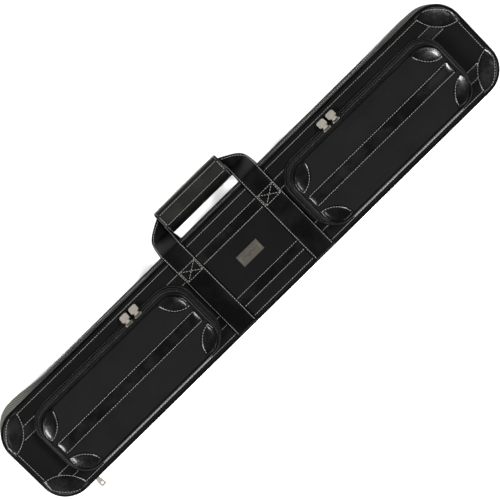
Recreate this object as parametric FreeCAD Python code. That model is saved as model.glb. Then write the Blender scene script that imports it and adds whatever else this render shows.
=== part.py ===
import FreeCAD, Part
import math
import os

# Soft two-piece cue case, lying on its back, in millimetres.
# X runs along the case, +Y towards the carrying handle, +Z out of the pocket face.
# The origin is the middle of the back panel's outer face, which is the rest surface.

V = FreeCAD.Vector

# ---- driving dimensions: case body ----
case_length = 864.0
case_height = 148.0
case_depth = 78.0
corner_radius = 40.0
panel_thickness = 5.0
wall_thickness = 3.0

# ---- piping, zipper and hinge strip ----
piping_width = 3.0
piping_height = 2.6
piping_proud = 1.4
tape_half = 5.0
tape_thickness = 1.0
coil_thickness = 2.0
coil_height = 1.2
coil_gap = 1.0
coil_depth = 0.4
zip_run_past_corner = 20.0
strip_thickness = 1.5
strip_half = 9.0
strip_end_gap = 7.0

# ---- straps, stripes, corner patches ----
strap_width = 36.0
strap_spacing = 150.0
strap_thickness = 2.6
strap_end_gap = 1.5
stripe_width = 19.0
stripe_offset = 41.0
leather_thickness = 1.0
patch_radius = 49.0
edge_band = 3.0

# ---- handle ----
grip_length = 119.0
grip_height = 38.0
grip_depth_each = 15.0
grip_gap = 17.0
grip_round = 11.0
bar_width = 24.0
bar_inset = 3.5
handle_shoulder = 9.0
flap_cover = 21.0
flap_thickness = 1.4

# ---- accessory pockets ----
pocket_length = 286.0
pocket_height = 114.0
pocket_rise = 25.0
pocket_inner_end = 98.0
pocket_drop = 4.0
pocket_radius = 34.0
pocket_slope_top = 10.0
pocket_slope_end = 7.0
pocket_slope_bottom = 1.0
pocket_wall = 2.5
pocket_panel_thickness = 3.8
pocket_stripe_width = 20.0
pocket_patch_radius = 36.0
pocket_strip_inset = 38.0

# ---- sliders and pull tabs ----
slider_length = 12.0
slider_width = 8.4
slider_plate = 1.2
slider_web = 0.5
bail_height = 1.9
bail_span = 8.4
pin_radius = 0.7
tab_eye_radius = 1.6
tab_thickness = 1.2
pocket_tab_length = 16.0
pocket_tab_width = 13.0
pocket_tab_drop_deg = 43.0
pocket_pair_shift = {"left": 64.0, "right": -39.0}
pull_spacing = 17.0
main_tab_length = 18.0
main_tab_width = 9.0
main_window_radius = 1.62

# ---- inside ----
foam_floor = 4.0
end_pad = 12.0
rib_width = 8.0
butt_channels = 3
shaft_channels = 5
band_width = 25.0
band_thickness = 1.2
band_place = 210.0

# ---- name plate ----
plate_length = 38.0
plate_width = 17.5
plate_thickness = 1.4
plate_rim = 1.2
rivet_radius = 1.2
rivet_spacing = 26.0

# ---- clearances ----
gap = 0.3
seat = 0.1
foam_gap = 0.6

# ---- worked-out levels and edges ----
half_length = case_length / 2
half_height = case_height / 2
seam_z = case_depth / 2
front_z = case_depth
strap_x = strap_spacing / 2
cavity_inset = wall_thickness + foam_gap
corner_x = half_length - corner_radius
zip_end_x = corner_x - zip_run_past_corner
hinge_y = -half_height - seat - strip_thickness / 2
slider_x = -(zip_end_x + slider_length / 2)
strap_top_z = front_z + strap_thickness
relief_reach = main_tab_length + bail_height + slider_plate + 3.0
ALONG_X = V(1, 0, 0)


def export(name, shape):
    """One node: the file's name is the node's name."""
    shape.exportStep("parts/" + name + ".step")


def box(x0, x1, y0, y1, z0, z1):
    """Box between two corners."""
    return Part.makeBox(x1 - x0, y1 - y0, z1 - z0, V(x0, y0, z0))


def rounded_wire(x0, x1, y0, y1, r, z):
    """Rounded rectangle in a level plane."""
    d = r * (1 - math.sqrt(0.5))
    line = lambda a, b: Part.LineSegment(V(*a, z), V(*b, z)).toShape()
    arc = lambda a, m, b: Part.Arc(V(*a, z), V(*m, z), V(*b, z)).toShape()
    return Part.Wire(
        [
            line((x0 + r, y0), (x1 - r, y0)),
            arc((x1 - r, y0), (x1 - d, y0 + d), (x1, y0 + r)),
            line((x1, y0 + r), (x1, y1 - r)),
            arc((x1, y1 - r), (x1 - d, y1 - d), (x1 - r, y1)),
            line((x1 - r, y1), (x0 + r, y1)),
            arc((x0 + r, y1), (x0 + d, y1 - d), (x0, y1 - r)),
            line((x0, y1 - r), (x0, y0 + r)),
            arc((x0, y0 + r), (x0 + d, y0 + d), (x0 + r, y0)),
        ]
    )


def slab(offset, z0, z1):
    """The case's outline, moved outwards by offset, from z0 to z1."""
    x, y, r = half_length + offset, half_height + offset, corner_radius + offset
    return Part.Face(rounded_wire(-x, x, -y, y, r, z0)).extrude(V(0, 0, z1 - z0))


def ring(outer, inner, z0, z1):
    """A band that follows the case's outline between two offsets."""
    return slab(outer, z0, z1).cut(slab(inner, z0, z1))


def hinge_side(x0, x1, z0, z1):
    """A block round the long side where the case folds."""
    return box(x0, x1, -half_height - 10, -half_height + corner_radius / 2, z0, z1)


def mirrored(shape):
    """The same piece on the other half of the depth."""
    return shape.mirror(V(0, 0, seam_z), V(0, 0, 1))


# ---- shell halves ----
def gusset(is_lid):
    """Side wall of one half; on the folding side it reaches the seam."""
    low, high = panel_thickness + piping_height / 2, seam_z - tape_half
    wall = ring(0, -wall_thickness, low, high)
    lip_x = zip_end_x - strip_end_gap / 2
    lip = ring(0, -wall_thickness, high, seam_z - coil_gap / 2)
    wall = wall.fuse(lip.common(hinge_side(-lip_x, lip_x, high, seam_z))).removeSplitter()
    if not is_lid:
        return wall
    return mirrored(wall).cut(hinge_side(-corner_x, -lip_x, seam_z, front_z))


def zip_half():
    """Tape and coil of the back half, from past one corner round to past the other."""
    top = seam_z - coil_gap / 2
    mid = -coil_depth - coil_thickness / 2
    tape = ring(mid + tape_thickness / 2, mid - tape_thickness / 2, seam_z - tape_half, top)
    coil = ring(-coil_depth, -coil_depth - coil_thickness, top - coil_height, top)
    return tape.fuse(coil).cut(hinge_side(-zip_end_x, zip_end_x, 0, front_z))


def piping():
    """Bead round the edge of the back panel."""
    low = panel_thickness - piping_height / 2
    return ring(piping_proud, piping_proud - piping_width, low, low + piping_height)


def panel_blank():
    """Padded panel that the piping goes round."""
    inset = piping_proud - piping_width - seat
    return slab(inset, 0, panel_thickness - seat)


def strap_strip(side, z0, z1):
    """Crosswise leather strap on one panel face."""
    x = side * strap_x
    reach = half_height - strap_end_gap
    return box(x - strap_width / 2, x + strap_width / 2, -reach, reach, z0, z1)


def stripe(side):
    """Lengthwise leather stripe on the front panel."""
    y = side * stripe_offset
    x = half_length - edge_band
    blank = box(-x, x, y - stripe_width / 2, y + stripe_width / 2, front_z, front_z + leather_thickness)
    return blank.common(slab(-edge_band, front_z, front_z + 5)).cut(corner_patches())


def corner_patches():
    """Four leather corners of the front panel, each bounded inside by an arc."""
    z = front_z
    discs = [
        Part.makeCylinder(patch_radius, leather_thickness, V(i * half_length, j * half_height, z))
        for i in (-1, 1)
        for j in (-1, 1)
    ]
    return Part.makeCompound(discs).common(slab(-edge_band, z, z + leather_thickness))


def zip_end_gusset():
    """Loose piece of the lid's side wall and tape beside the parked slider."""
    piece = mirrored(ring(0, -wall_thickness, panel_thickness + piping_height / 2, seam_z - tape_half))
    tape = mirrored(
        ring(
            -coil_depth - coil_thickness / 2 + tape_thickness / 2,
            -coil_depth - coil_thickness / 2 - tape_thickness / 2,
            seam_z - tape_half,
            seam_z - coil_gap / 2,
        )
    )
    lip_x = zip_end_x - strip_end_gap / 2
    wall = piece.common(hinge_side(-corner_x + seat, -lip_x - seat, seam_z, front_z))
    tape = tape.common(hinge_side(-corner_x + seat, -zip_end_x, seam_z, front_z))
    return wall.fuse(tape).removeSplitter()


# ---- inside ----
def cavity(z0, z1):
    """The space inside the walls."""
    return slab(-cavity_inset, z0, z1)


def dividers(channels, z0, z1):
    """Foam ribs between and beside the channels, each a separate solid."""
    reach = half_height - cavity_inset
    pitch = (2 * reach - rib_width) / channels
    x = half_length - cavity_inset - end_pad - gap
    ribs = []
    for i in range(channels + 1):
        y = -reach + i * pitch
        ribs.append(box(-x, x, y, y + rib_width, z0, z1).common(cavity(z0, z1)))
    return Part.makeCompound(ribs)


def end_pads(z0, z1):
    """Foam blocks that close the channels' ends."""
    x0 = half_length - cavity_inset - end_pad
    y = half_height
    blocks = [box(x0, half_length, -y, y, z0, z1), box(-half_length, -x0, -y, y, z0, z1)]
    return Part.makeCompound(blocks).common(cavity(z0, z1))


def pull_relief():
    """Room in the lid's foam for the main pull tab when the lid swings over it."""
    reach = main_tab_width / 2 + 3.0
    return box(
        slider_x - reach,
        slider_x + reach,
        -half_height,
        -half_height + relief_reach,
        seam_z,
        seam_z + relief_reach,
    )


# ---- handles ----
grip_low = half_height + grip_gap
grip_high = grip_low + grip_height
bar_low = grip_low + (grip_height - bar_width) / 2
bar_high = bar_low + bar_width
bar_z = seam_z - bar_inset


def handle_loop(proud):
    """Loop of the back half: two legs from the strap's end to a bar at mid depth.

    proud is how far the strap's inner face stands out of the panel: nothing where the
    strap is sunk, its own thickness where it lies on the panel.
    """
    start = half_height - strap_end_gap + gap * 2
    inner = strap_x - strap_width / 2
    outer = strap_x + strap_width / 2
    end = grip_length / 2 + gap * 2
    shoulder = half_height + handle_shoulder
    plan = [
        (inner, start),
        (outer, start),
        (outer, shoulder),
        (end + 3, bar_high - 2),
        (end, bar_high),
        (-end, bar_high),
        (-end - 3, bar_high - 2),
        (-outer, shoulder),
        (-outer, start),
        (-inner, start),
        (-end, grip_low),
        (-end, bar_low),
        (end, bar_low),
        (end, grip_low),
    ]
    wire = Part.makePolygon([V(x, y, -proud) for x, y in plan + plan[:1]])
    plate = Part.Face(wire).extrude(V(0, 0, seam_z + proud))
    t = strap_thickness - seat
    bend = half_height + 4.5
    side = [
        (start, -proud),
        (bend, -proud),
        (bar_low, bar_z - t),
        (bar_high, bar_z - t),
        (bar_high, bar_z),
        (bar_low - 2.2, bar_z),
        (bend - 1.3, t - proud),
        (start, t - proud),
    ]
    wire = Part.makePolygon([V(-case_length / 2, y, z) for y, z in side + side[:1]])
    profile = Part.Face(wire).extrude(V(case_length, 0, 0))
    return plate.common(profile)


def grip_half():
    """Rear half of the padded grip, with the slot that the loop's bar runs through."""
    z1, r = seam_z - gap / 2, grip_round
    z0 = z1 - grip_depth_each
    d = r * (1 - math.sqrt(0.5))
    x = -grip_length / 2
    line = lambda a, b: Part.LineSegment(V(x, *a), V(x, *b)).toShape()
    arc = lambda a, m, b: Part.Arc(V(x, *a), V(x, *m), V(x, *b)).toShape()
    outline = Part.Wire(
        [
            line((grip_low, z1), (grip_low, z0 + r)),
            arc((grip_low, z0 + r), (grip_low + d, z0 + d), (grip_low + r, z0)),
            line((grip_low + r, z0), (grip_high - r, z0)),
            arc((grip_high - r, z0), (grip_high - d, z0 + d), (grip_high, z0 + r)),
            line((grip_high, z0 + r), (grip_high, z1)),
            line((grip_high, z1), (grip_low, z1)),
        ]
    )
    blank = Part.Face(outline).extrude(V(grip_length, 0, 0))
    slot = box(x, -x, bar_low, bar_high, bar_z - strap_thickness + seat, bar_z)
    return blank.cut(slot)


def grip_flap():
    """Loose leather flap over the upper part of the front grip."""
    z0 = seam_z + gap / 2 + grip_depth_each + seat
    x = grip_length / 2 - 2
    high = grip_high - grip_round / 2
    return box(-x, x, high - flap_cover, high, z0, z0 + flap_thickness)


# ---- pockets ----
pocket_mid_x = pocket_inner_end + pocket_length / 2
pocket_low = -pocket_height / 2 - pocket_drop
pocket_zip_z = front_z + pocket_rise / 2
pocket_tape_half = tape_half - 0.6
pocket_panel_z = front_z + pocket_rise - pocket_panel_thickness
pocket_hinge_y = pocket_low - seat - strip_thickness / 2
pocket_slope_deg = math.degrees(math.atan2(pocket_slope_top, pocket_rise))


def pocket_wire(side, offset, z):
    """The pocket's outline at height z, moved outwards by offset."""
    t = (z - front_z) / pocket_rise
    end = pocket_length / 2 - t * pocket_slope_end + offset
    low = pocket_low + t * pocket_slope_bottom - offset
    high = pocket_low + pocket_height - t * pocket_slope_top + offset
    r = pocket_radius - t * pocket_slope_end + offset
    x = side * pocket_mid_x
    return rounded_wire(x - end, x + end, low, high, r, z)


def pocket_slab(side, offset, z0, z1):
    """Solid of the pocket's sloping outline between two heights."""
    return Part.makeLoft([pocket_wire(side, offset, z0), pocket_wire(side, offset, z1)], True, True)


def pocket_ring(side, outer, inner, z0, z1):
    """Band that follows the pocket's sloping wall."""
    return pocket_slab(side, outer, z0, z1).cut(pocket_slab(side, inner, z0, z1))


def pocket_hinge_zone(side, z0, z1):
    """Block round the pocket's lower long side, where it has no zipper."""
    x = side * pocket_mid_x
    reach = pocket_length / 2 - pocket_strip_inset + 1
    return box(x - reach, x + reach, pocket_low - 5, pocket_low + pocket_radius / 2, z0, z1)


def pocket_gusset(side):
    """Pocket wall sewn to the front panel, below the zipper."""
    top = pocket_zip_z - pocket_tape_half
    wall = pocket_ring(side, 0, -pocket_wall, front_z, top)
    lip = pocket_ring(side, 0, -pocket_wall, top, pocket_zip_z - coil_gap / 2)
    lip = lip.common(pocket_hinge_zone(side, top, pocket_zip_z))
    return wall.fuse(lip).cut(stripe(1)).cut(stripe(-1)).cut(corner_patches())


def pocket_band(side):
    """Pocket wall above the zipper, part of the flap."""
    low = pocket_zip_z + pocket_tape_half
    wall = pocket_ring(side, 0, -pocket_wall, low, pocket_panel_z - seat)
    lip = pocket_ring(side, 0, -pocket_wall, pocket_zip_z + coil_gap / 2, low)
    return wall.fuse(lip.common(pocket_hinge_zone(side, pocket_zip_z, low)))


def pocket_zip(side, above):
    """Tape and coil of one zipper half, open along the pocket's lower side."""
    mid = -coil_depth - coil_thickness / 2
    near = pocket_zip_z + above * coil_gap / 2
    far = pocket_zip_z + above * pocket_tape_half
    turn = near + above * coil_height
    half = tape_thickness / 2
    tape = pocket_ring(side, mid + half, mid - half, min(near, far), max(near, far))
    outer, inner = -coil_depth, -coil_depth - coil_thickness
    coil = pocket_ring(side, outer, inner, min(near, turn), max(near, turn))
    return tape.fuse(coil).cut(pocket_hinge_zone(side, front_z, front_z + pocket_rise))


def pocket_piping(side):
    """Bead round the flap's panel."""
    low = pocket_panel_z + seat
    return pocket_ring(side, 1.0, -1.8, low, low + piping_height)


def pocket_panel(side):
    """Padded top of the flap, inside the piping."""
    return pocket_slab(side, -1.8 - seat, pocket_panel_z + seat, front_z + pocket_rise)


def pocket_face(side, z0, z1):
    """Space over the flap's panel, inside the edge seam."""
    return pocket_slab(side, -edge_band, z0, z1)


def pocket_stripe(side):
    """Leather stripe along the middle of the flap."""
    z0 = front_z + pocket_rise
    mid = pocket_low + (pocket_height - pocket_slope_top + pocket_slope_bottom) / 2
    x, reach, half = side * pocket_mid_x, pocket_length / 2, pocket_stripe_width / 2
    blank = box(x - reach, x + reach, mid - half, mid + half, z0, z0 + leather_thickness)
    return blank.common(pocket_face(side, z0, z0 + leather_thickness))


def pocket_patches(side):
    """Leather corners of the flap, bounded inside by arcs."""
    z0 = front_z + pocket_rise
    end = pocket_length / 2 - pocket_slope_end
    low = pocket_low + pocket_slope_bottom
    high = pocket_low + pocket_height - pocket_slope_top
    discs = [
        Part.makeCylinder(pocket_patch_radius, leather_thickness, V(side * pocket_mid_x + i * end, y, z0))
        for i in (-1, 1)
        for y in (low, high)
    ]
    return Part.makeCompound(discs).common(pocket_face(side, z0, z0 + leather_thickness))


def pocket_hinge(side):
    """Fabric strip along the pocket's lower side, folded when the flap opens."""
    x = side * pocket_mid_x
    reach = pocket_length / 2 - pocket_strip_inset
    y0, y1 = pocket_hinge_y - strip_thickness / 2, pocket_hinge_y + strip_thickness / 2
    half = pocket_tape_half + 1.5
    return box(x - reach, x + reach, y0, y1, pocket_zip_z - half, pocket_zip_z + half)


# ---- sliders and tabs ----
# Both are drawn at the seam's outer face with +Y out of the wall and X along the zipper.
plate_low = -0.1
pin_n = plate_low + slider_plate + bail_height


def rounded_plate(length, width, r, n0, n1):
    """Small plate whose broad face looks along +Y."""
    face = Part.Face(rounded_wire(-length / 2, length / 2, -width / 2, width / 2, r, 0))
    plate = face.extrude(V(0, 0, n1 - n0))
    plate.rotate(V(0, 0, 0), ALONG_X, -90)
    plate.translate(V(0, n0, 0))
    return plate


def slider(slope):
    """Two plates joined by a web between the coils, with a bail for the tab.

    The web is turned back by the wall's slope, so that it lies level between the coils.
    """
    inner = -coil_depth - coil_thickness - gap
    outer = rounded_plate(slider_length, slider_width, 2.2, plate_low, plate_low + slider_plate)
    back = rounded_plate(slider_length, slider_width, 2.2, inner - slider_plate, inner)
    web = box(1, slider_length / 2 - 1, inner - 0.5, plate_low + 0.5, -slider_web / 2, slider_web / 2)
    web.rotate(V(0, 0, 0), ALONG_X, -slope)
    top = pin_n + pin_radius + 0.5
    post = 1.2
    posts = [
        box(x - post / 2, x + post / 2, plate_low + slider_plate, top, -1.2, 1.2)
        for x in (-bail_span / 2 + post / 2, bail_span / 2 - post / 2)
    ]
    pin = Part.makeCylinder(pin_radius, bail_span - post, V(-bail_span / 2 + post / 2, pin_n, 0), ALONG_X)
    body = outer.fuse([back, web, pin] + posts)
    return body.removeSplitter()


def tab(length, width, broad_from, window_radius):
    """Pull tab along +Y from its eye at the origin; it has its full width from broad_from on."""
    eye_width = bail_span - 2 * 1.2 - 2 * gap
    eye = Part.makeCylinder(tab_eye_radius, eye_width, V(-eye_width / 2, 0, 0), ALONG_X)
    neck = eye_width / 2
    shoulder = tab_eye_radius + 1.4
    plan = [
        (-neck, 0),
        (neck, 0),
        (neck, shoulder),
        (width / 2, broad_from),
        (width / 2, length - 2),
        (width / 2 - 2, length),
        (2 - width / 2, length),
        (-width / 2, length - 2),
        (-width / 2, broad_from),
        (-neck, shoulder),
    ]
    t = tab_thickness / 2
    blade = Part.Face(Part.makePolygon([V(x, y, -t) for x, y in plan + plan[:1]]))
    blade = blade.extrude(V(0, 0, tab_thickness))
    bore = Part.makeCylinder(pin_radius + gap, eye_width + 2, V(-eye_width / 2 - 1, 0, 0), ALONG_X)
    pull = blade.fuse(eye).cut(bore)
    if window_radius > 0:
        pull = pull.cut(Part.makeCylinder(window_radius, 4, V(0, length * 0.74, -2)))
    return pull.removeSplitter()


def turned(shape, degrees, x, y, z):
    """A piece turned about X, then moved into place."""
    piece = shape.copy()
    piece.rotate(V(0, 0, 0), ALONG_X, degrees)
    piece.translate(V(x, y, z))
    return piece


def pin_point(y, z, degrees):
    """Where a slider's pin lies, in Y and Z, for a wall facing that way."""
    a = math.radians(degrees)
    return y + pin_n * math.cos(a), z + pin_n * math.sin(a)


pocket_seam_y = pocket_low + pocket_height - pocket_slope_top / 2
pocket_pin = pin_point(pocket_seam_y, pocket_zip_z, pocket_slope_deg)
main_pin = pin_point(-half_height, seam_z, 180)


def pair_x(name, k):
    """Place along X of slider k, 0 or 1, of a pocket's pair."""
    side = -1 if name == "left" else 1
    return side * pocket_mid_x + pocket_pair_shift[name] + (k - 0.5) * pull_spacing


# ---- name plate ----
def name_plate():
    """Blank metal plate with a raised rim."""
    x, y = plate_length / 2, plate_width / 2
    z = front_z + plate_thickness
    plate = box(-x, x, -y, y, front_z, z)
    field = box(-x + plate_rim, x - plate_rim, -y + plate_rim, y - plate_rim, z - 0.5, z)
    return plate.cut(field)


def plate_rivets():
    """Two studs that hold the plate through the panel."""
    depth = panel_thickness - 2 * seat
    studs = [
        Part.makeCylinder(rivet_radius, depth, V(x, 0, front_z - depth))
        for x in (-rivet_spacing / 2, rivet_spacing / 2)
    ]
    return Part.makeCompound(studs)


# ---- build ----
os.makedirs("parts", exist_ok=True)

straps_back = {n: strap_strip(s, 0, strap_thickness - seat) for n, s in (("left", -1), ("right", 1))}
groove = [strap_strip(s, -1, strap_thickness) for s in (-1, 1)]
export("back_panel", panel_blank().cut(groove))
export("back_piping", piping().cut(groove))
export("back_gusset", gusset(False))
export("back_zip_half", zip_half())

floor_low = panel_thickness + seat
floor_high = floor_low + foam_floor
base_top = seam_z - slider_width / 2 - gap
lid_low = seam_z + slider_width / 2 + gap
export("base_foam_floor", cavity(floor_low, floor_high))
export("base_dividers", dividers(butt_channels, floor_high, base_top))
export("base_end_pads", end_pads(floor_high, base_top))

band_y = half_height - cavity_inset
cue_bands = [
    box(x - band_width / 2, x + band_width / 2, -band_y, band_y, base_top, base_top + band_thickness)
    for x in (-band_place, band_place)
]
export("cue_bands", Part.makeCompound(cue_bands))
strip_x = zip_end_x - strip_end_gap
export(
    "hinge_strip",
    box(
        -strip_x,
        strip_x,
        hinge_y - strip_thickness / 2,
        hinge_y + strip_thickness / 2,
        seam_z - strip_half,
        seam_z + strip_half,
    ),
)

rivet_holes = plate_rivets()
export("front_panel", mirrored(panel_blank()).cut(rivet_holes))
export("front_piping", mirrored(piping()))
export("front_gusset", gusset(True))
export("front_zip_half", mirrored(zip_half()).cut(hinge_side(-corner_x, 0, seam_z, front_z)))
export("zip_end_gusset", zip_end_gusset())
export("front_corner_patches", corner_patches())
stripes = {"upper": stripe(1), "lower": stripe(-1)}
for name, shape in stripes.items():
    export("stripe_" + name, shape)
export("name_plate", name_plate())
export("plate_rivets", rivet_holes)
export("lid_foam_floor", cavity(case_depth - floor_high, case_depth - floor_low))
export("lid_dividers", dividers(shaft_channels, lid_low, case_depth - floor_high).cut(pull_relief()))
export("lid_end_pads", end_pads(lid_low, case_depth - floor_high))

for name, side in (("left", -1), ("right", 1)):
    strap = strap_strip(side, front_z, strap_top_z)
    export("front_strap_" + name, strap.cut(list(stripes.values())))
    export("rear_strap_" + name, straps_back[name])
    export("pocket_gusset_" + name, pocket_gusset(side))
    export("pocket_lower_zip_" + name, pocket_zip(side, -1))
    export("pocket_upper_zip_" + name, pocket_zip(side, 1))
    export("pocket_band_" + name, pocket_band(side))
    export("pocket_piping_" + name, pocket_piping(side))
    export("pocket_panel_" + name, pocket_panel(side))
    export("pocket_stripe_" + name, pocket_stripe(side))
    export("pocket_patches_" + name, pocket_patches(side))
    export("pocket_hinge_" + name, pocket_hinge(side))
    for k in (0, 1):
        x = pair_x(name, k)
        label = name + "_" + str(k + 1)
        body = turned(slider(pocket_slope_deg), pocket_slope_deg, x, pocket_seam_y, pocket_zip_z)
        pull = tab(pocket_tab_length, pocket_tab_width, 5.0, 0)
        export("slider_" + label, body)
        export("tab_" + label, turned(pull, -pocket_tab_drop_deg, x, *pocket_pin))

export("main_slider", turned(slider(0), 180, slider_x, -half_height, seam_z))
pull = tab(main_tab_length, main_tab_width, 8.1, main_window_radius)
export("main_tab", turned(pull, 180, slider_x, *main_pin))

export("rear_handle", handle_loop(0))
export("front_handle", mirrored(handle_loop(strap_thickness)))
export("rear_grip", grip_half())
export("front_grip", mirrored(grip_half()))
export("grip_flap", grip_flap())
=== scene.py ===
import math

import bpy
import numpy as np
from mathutils import Matrix, Vector
from mathutils.kdtree import KDTree


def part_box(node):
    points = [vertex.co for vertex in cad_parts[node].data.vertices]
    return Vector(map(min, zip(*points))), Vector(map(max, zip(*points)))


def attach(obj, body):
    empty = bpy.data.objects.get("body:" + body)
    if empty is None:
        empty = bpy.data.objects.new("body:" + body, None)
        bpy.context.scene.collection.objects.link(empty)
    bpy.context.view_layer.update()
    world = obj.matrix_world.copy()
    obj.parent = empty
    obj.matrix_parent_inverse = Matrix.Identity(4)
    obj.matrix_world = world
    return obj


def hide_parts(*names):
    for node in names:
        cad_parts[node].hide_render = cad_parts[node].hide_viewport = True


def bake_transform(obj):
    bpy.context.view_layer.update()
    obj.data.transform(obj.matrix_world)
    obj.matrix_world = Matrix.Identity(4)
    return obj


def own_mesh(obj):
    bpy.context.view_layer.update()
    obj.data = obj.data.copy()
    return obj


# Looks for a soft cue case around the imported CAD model. Metres throughout; X runs along
# the case, +Y towards the carrying handle, +Z out of the pocket face.
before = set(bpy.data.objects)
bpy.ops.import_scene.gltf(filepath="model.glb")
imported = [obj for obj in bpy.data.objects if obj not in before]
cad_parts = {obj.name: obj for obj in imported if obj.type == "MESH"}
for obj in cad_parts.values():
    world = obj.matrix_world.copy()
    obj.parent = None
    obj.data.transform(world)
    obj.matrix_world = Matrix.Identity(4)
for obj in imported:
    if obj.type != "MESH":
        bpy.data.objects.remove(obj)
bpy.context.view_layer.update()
scene = bpy.context.scene


def span(node, axis):
    """Lowest and highest coordinate of a CAD node along one axis."""
    low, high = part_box(node)
    return low[axis], high[axis]


def spans(node):
    """Lowest and highest coordinates of a CAD node along x, y and z."""
    return [span(node, axis) for axis in range(3)]


# ---- sizes, mostly worked out from the frame ----
HALF_X = span("back_gusset", 0)[1]
HALF_Y = span("back_gusset", 1)[1]
CORNER = 0.040
STRAIGHT = HALF_X - CORNER
FRONT = span("front_panel", 2)[1]
SEAM = (span("back_zip_half", 2)[1] + span("front_zip_half", 2)[0]) / 2
WALL = 0.003
WALL_SEAM = 0.0063
ZIP_TAPE = 0.005
ZIP_LIP = 0.0005
ZIP_END = span("hinge_strip", 0)[1] + 0.007
FOLD_DEPTH = 0.012
STRAP_THICK = span("front_strap_left", 2)[1] - FRONT
(STRAP_IN, STRAP_OUT), (_, STRAP_REACH), _ = spans("front_strap_right")
(_, GRIP_END), (GRIP_LOW, GRIP_HIGH), _ = spans("front_grip")
BAR_LOW = GRIP_LOW + 0.007
BAR_HIGH = GRIP_HIGH - 0.007
STITCH_INSET = 0.0024
BAND = 0.003
PANEL_INSET = 0.0018
PANEL_SEAM = 0.0052
PATCH_LIFT = 0.0003
PATCH_RADIUS = 0.049
POCKET_PATCH_RADIUS = 0.036
POCKET_TOP = span("pocket_panel_left", 2)[1]
(POCKET_IN, POCKET_OUT), (POCKET_LOW, POCKET_HIGH), _ = spans("pocket_gusset_right")
POCKET_MID = (POCKET_IN + POCKET_OUT) / 2
POCKET_HALF = (POCKET_OUT - POCKET_IN) / 2
POCKET_CORNER = 0.034
POCKET_TAPE = 0.0044
SLOPE_TOP, SLOPE_END, SLOPE_LOW = 0.010, 0.007, 0.001
REAR_FLATTENING = 0.85
CLOTH_FRAMES = 20


# ---- mesh helpers ----
def make(name, verts, faces):
    """A smooth-shaded object from points and faces."""
    mesh = bpy.data.meshes.new(name)
    mesh.from_pydata([tuple(map(float, v)) for v in verts], [], [tuple(map(int, f)) for f in faces])
    mesh.validate()
    mesh.polygons.foreach_set("use_smooth", [True] * len(mesh.polygons))
    obj = bpy.data.objects.new(name, mesh)
    scene.collection.objects.link(obj)
    return obj


def dress(obj, body, look, nodes=()):
    """Material, body and the CAD nodes that the piece stands for."""
    obj.data.materials.clear()
    obj.data.materials.append(looks[look])
    if body is not None:
        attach(obj, body)
    if nodes:
        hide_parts(*nodes)
    return obj


def outline(x0, x1, y0, y1, r, nx=196, ny=16, arc=12):
    """Points round a rounded rectangle, anticlockwise from the lower right corner."""
    r = max(min(r, (x1 - x0) / 2 - 1e-5, (y1 - y0) / 2 - 1e-5), 2e-4)
    corners = [(x1 - r, y0 + r), (x1 - r, y1 - r), (x0 + r, y1 - r), (x0 + r, y0 + r)]
    points = []
    for k, (cx, cy) in enumerate(corners):
        for i in range(arc + 1):
            a = math.radians(90 * (k - 1 + i / arc))
            points.append((cx + r * math.cos(a), cy + r * math.sin(a)))
        next_x, next_y = corners[(k + 1) % 4]
        a = math.radians(90 * k)
        end = (next_x + r * math.cos(a), next_y + r * math.sin(a))
        start = points[-1]
        count = ny if k % 2 == 0 else nx
        for i in range(1, count):
            t = i / count
            points.append((start[0] + (end[0] - start[0]) * t, start[1] + (end[1] - start[1]) * t))
    return np.array(points)


def hump(x, middle, width):
    """Bell curve of height 1."""
    return np.exp(-(((x - middle) / width) ** 2))


def slack(x, y):
    """How far the loose side wall bellies out at mid height, most at the handle side's corners."""
    near = np.clip((y - 0.025) / 0.035, 0, 1)
    left = 0.0085 * hump(x, -0.388, 0.044) + 0.0030 * hump(x, -0.27, 0.09)
    right = 0.0048 * hump(x, 0.365, 0.065)
    return near * (left + right)


def turned_out(points):
    """Directions that point outwards all round a closed outline, not of unit length."""
    ahead = np.roll(points, -1, axis=0) - np.roll(points, 1, axis=0)
    return np.column_stack([ahead[:, 1], -ahead[:, 0]])


def case_loop(offset, z):
    """The case's outline moved outwards by offset, with the wall's slack between the pipings."""
    x, y, r = HALF_X + offset, HALF_Y + offset, CORNER + offset
    points = outline(-x, x, -y, y, r)
    level = math.sin(math.pi * min(max((z - 0.007) / (FRONT - 0.014), 0), 1))
    out = turned_out(points)
    out /= np.linalg.norm(out, axis=1, keepdims=True)
    return points + out * (slack(points[:, 0], points[:, 1]) * level)[:, None]


def pocket_loop(side):
    """The pocket's outline at a height, moved outwards by an offset."""

    def loop(offset, z):
        t = (z - FRONT) / (POCKET_TOP - FRONT)
        end = POCKET_HALF - t * SLOPE_END + offset
        low = POCKET_LOW + t * SLOPE_LOW - offset
        high = POCKET_HIGH - t * SLOPE_TOP + offset
        x = side * POCKET_MID
        return outline(x - end, x + end, low, high, POCKET_CORNER - t * SLOPE_END + offset, 70, 16)

    return loop


def fold_zone(low, high):
    """A test for points of the long side where the case folds, between two places along it."""
    return lambda x, y: y < -HALF_Y + FOLD_DEPTH and low < x < high


def except_in(zone):
    """The opposite test."""
    return lambda x, y: not zone(x, y)


def open_order(inside):
    """Indices of the points to keep round a loop, starting just after its gap."""
    n = len(inside)
    start = next(i for i in range(n) if inside[i] and not inside[i - 1])
    return [(start + i) % n for i in range(n) if inside[(start + i) % n]]


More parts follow.
